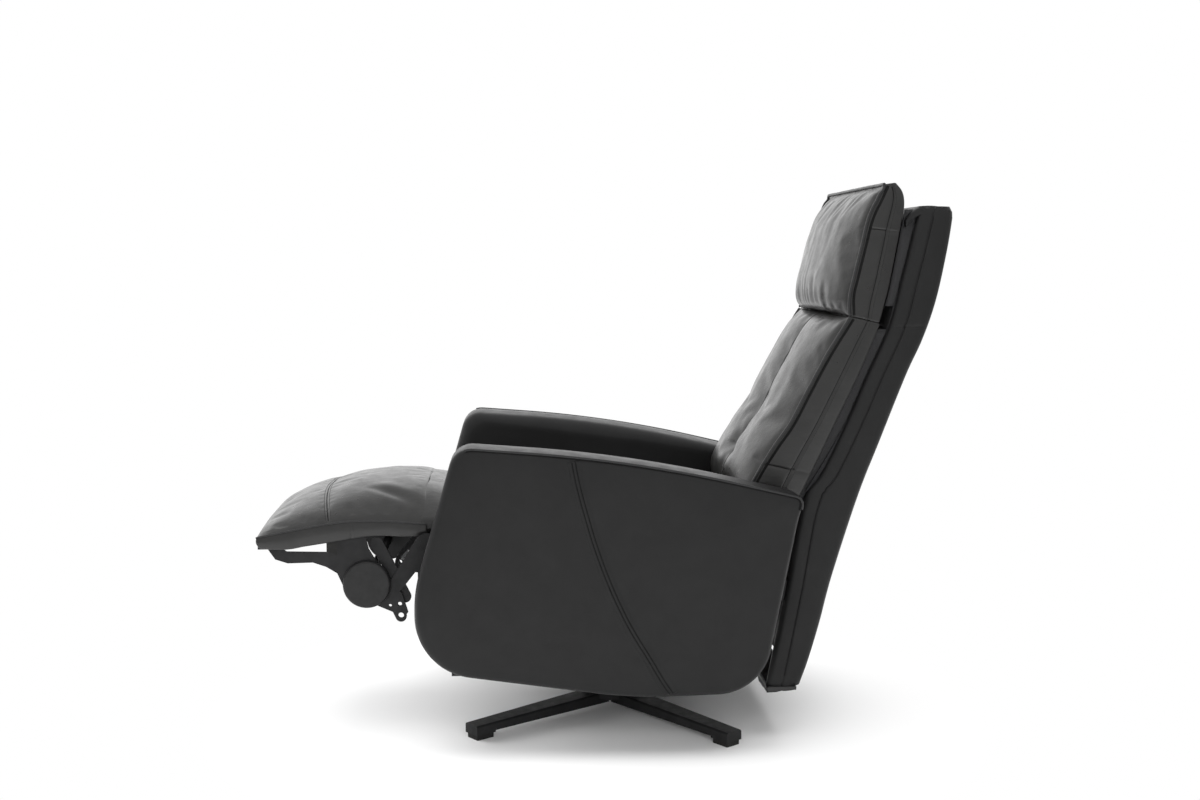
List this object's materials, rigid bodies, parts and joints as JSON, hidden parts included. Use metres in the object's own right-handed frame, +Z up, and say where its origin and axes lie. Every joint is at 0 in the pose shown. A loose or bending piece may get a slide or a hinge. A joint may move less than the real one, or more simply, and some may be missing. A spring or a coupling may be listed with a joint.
{
  "type": "swivel lift chair",
  "caption": "Leather recliner on a swivelling star base; powered back, footrest and tilting lift frame, with a tipping headrest.",
  "frame": {"origin": "on the floor under the middle of the whole footprint, footrest out as in the picture", "axes": "+X to the sitter's left, -Y the way the chair faces, +Z up"},
  "size_m": [0.76, 1.362, 1.1086],
  "materials": {
    "black_leather": "satin",
    "black_steel": "matte",
    "bright_steel": "satin",
    "black_plastic": "matte",
    "drive_casing": "matte",
    "grey_rubber": "matte",
    "frame_board": "matte",
    "webbing": "matte",
    "button_plastic": "satin"
  },
  "bodies": {
    "base": {"star_base": "black_steel", "foot_glides": "grey_rubber", "swivel_post": "bright_steel", "swivel_bearing": "black_plastic"},
    "turntable": {"swivel_plate": "black_steel", "lower_lift_frame": "black_steel", "lower_lift_pins": "bright_steel", "lift_motor": "drive_casing"},
    "front_links": {"lift_torsion_tube": "black_steel", "left_front_lift_link": "black_steel", "right_front_lift_link": "black_steel"},
    "seat": {"seat_frame": "black_steel", "left_side_plate": "black_steel", "right_side_plate": "black_steel", "recline_pins": "bright_steel", "upper_lift_pins": "bright_steel", "seat_deck": "frame_board", "seat_webbing": "webbing", "seat_cushion": "black_leather", "control_box": "black_plastic", "battery_pack": "black_plastic", "footrest_motor": "drive_casing", "back_motor": "drive_casing", "left_arm_outer_pad": "black_leather", "right_arm_outer_pad": "black_leather", "left_arm_frame_board": "frame_board", "right_arm_frame_board": "frame_board", "left_arm_inner_pad": "black_leather", "right_arm_inner_pad": "black_leather", "control_panel": "black_plastic"},
    "rear_links": {"left_rear_lift_link": "black_steel", "right_rear_lift_link": "black_steel"},
    "lift_drive_rod": {"lift_rod": "bright_steel"},
    "back": {"back_shell": "black_leather", "back_panel": "frame_board", "back_frame": "black_steel", "back_cushion": "black_leather", "cushion_rails": "frame_board", "back_skirt": "black_leather", "head_hinge": "black_steel"},
    "back_drive_rod": {"back_rod": "bright_steel"},
    "footrest": {"footrest_board": "frame_board", "footrest_pad": "black_leather", "footrest_tube": "black_steel", "left_footrest_bracket": "black_steel", "right_footrest_bracket": "black_steel", "pivot_covers": "black_plastic", "strap_links": "black_steel", "rubber_stops": "grey_rubber", "footrest_spreader": "black_steel"},
    "footrest_drive_rod": {"footrest_rod": "bright_steel"},
    "head": {"head_cushion": "black_leather", "head_plate": "black_steel"},
    "footrest_down_key": {"footrest_down_button": "button_plastic"},
    "back_down_key": {"back_down_button": "button_plastic"},
    "lift_down_key": {"lift_down_button": "button_plastic"},
    "footrest_up_key": {"footrest_up_button": "button_plastic"},
    "back_up_key": {"back_up_button": "button_plastic"},
    "lift_up_key": {"lift_up_button": "button_plastic"}
  },
  "joints": [
    {"name": "swivel", "type": "hinge", "parent": "base", "child": "turntable", "pos_m": [0, 0.031, 0.1], "axis": [0, 0, 1], "continuous": true},
    {"name": "lift", "type": "hinge", "parent": "turntable", "child": "front_links", "pos_m": [0, -0.286, 0.15], "axis": [1, 0, 0], "range_deg": [0, 55]},
    {"name": "seat_tilt", "type": "hinge", "parent": "front_links", "child": "seat", "pos_m": [0, -0.119, 0.17], "axis": [1, 0, 0], "range_deg": [-29.1, 0]},
    {"name": "rear_link_turn", "type": "hinge", "parent": "turntable", "child": "rear_links", "pos_m": [0, -0.2126, 0.15], "axis": [1, 0, 0], "range_deg": [0, 44.2]},
    {"name": "lift_rod_slide", "type": "slide", "parent": "turntable", "child": "lift_drive_rod", "axis": [0, -1, 0], "range_m": [0, 0.0575]},
    {"name": "recline", "type": "hinge", "parent": "seat", "child": "back", "pos_m": [0, 0.331, 0.3], "axis": [-1, 0, 0], "range_deg": [-14, 25]},
    {"name": "back_rod_slide", "type": "slide", "parent": "seat", "child": "back_drive_rod", "axis": [0, -1, 0], "range_m": [-0.0142, 0.0252]},
    {"name": "footrest_fold", "type": "hinge", "parent": "seat", "child": "footrest", "pos_m": [0, -0.349, 0.404], "axis": [1, 0, 0], "range_deg": [-6, 85]},
    {"name": "footrest_rod_slide", "type": "slide", "parent": "seat", "child": "footrest_drive_rod", "axis": [0, 1, 0], "range_m": [-0.0077, 0.1065]},
    {"name": "head_tilt", "type": "hinge", "parent": "back", "child": "head", "pos_m": [0, 0.493, 0.845], "axis": [1, 0, 0], "range_deg": [0, 32]},
    {"name": "footrest_down_press", "type": "slide", "parent": "seat", "child": "footrest_down_key", "axis": [1, 0, 0], "range_m": [0, 0.0014], "stiffness_N_per_m": 900},
    {"name": "back_down_press", "type": "slide", "parent": "seat", "child": "back_down_key", "axis": [1, 0, 0], "range_m": [0, 0.0014], "stiffness_N_per_m": 900},
    {"name": "lift_down_press", "type": "slide", "parent": "seat", "child": "lift_down_key", "axis": [1, 0, 0], "range_m": [0, 0.0014], "stiffness_N_per_m": 900},
    {"name": "footrest_up_press", "type": "slide", "parent": "seat", "child": "footrest_up_key", "axis": [1, 0, 0], "range_m": [0, 0.0014], "stiffness_N_per_m": 900},
    {"name": "back_up_press", "type": "slide", "parent": "seat", "child": "back_up_key", "axis": [1, 0, 0], "range_m": [0, 0.0014], "stiffness_N_per_m": 900},
    {"name": "lift_up_press", "type": "slide", "parent": "seat", "child": "lift_up_key", "axis": [1, 0, 0], "range_m": [0, 0.0014], "stiffness_N_per_m": 900}
  ],
  "couplings": [
    {"joint": "seat_tilt", "follows": "lift", "ratio": -0.5273},
    {"joint": "rear_link_turn", "follows": "lift", "ratio": 0.802},
    {"joint": "lift_rod_slide", "follows": "lift", "m_per_rad": 0.059653},
    {"joint": "back_rod_slide", "follows": "recline", "m_per_rad": 0.057227},
    {"joint": "footrest_rod_slide", "follows": "footrest_fold", "m_per_rad": 0.0715}
  ]
}
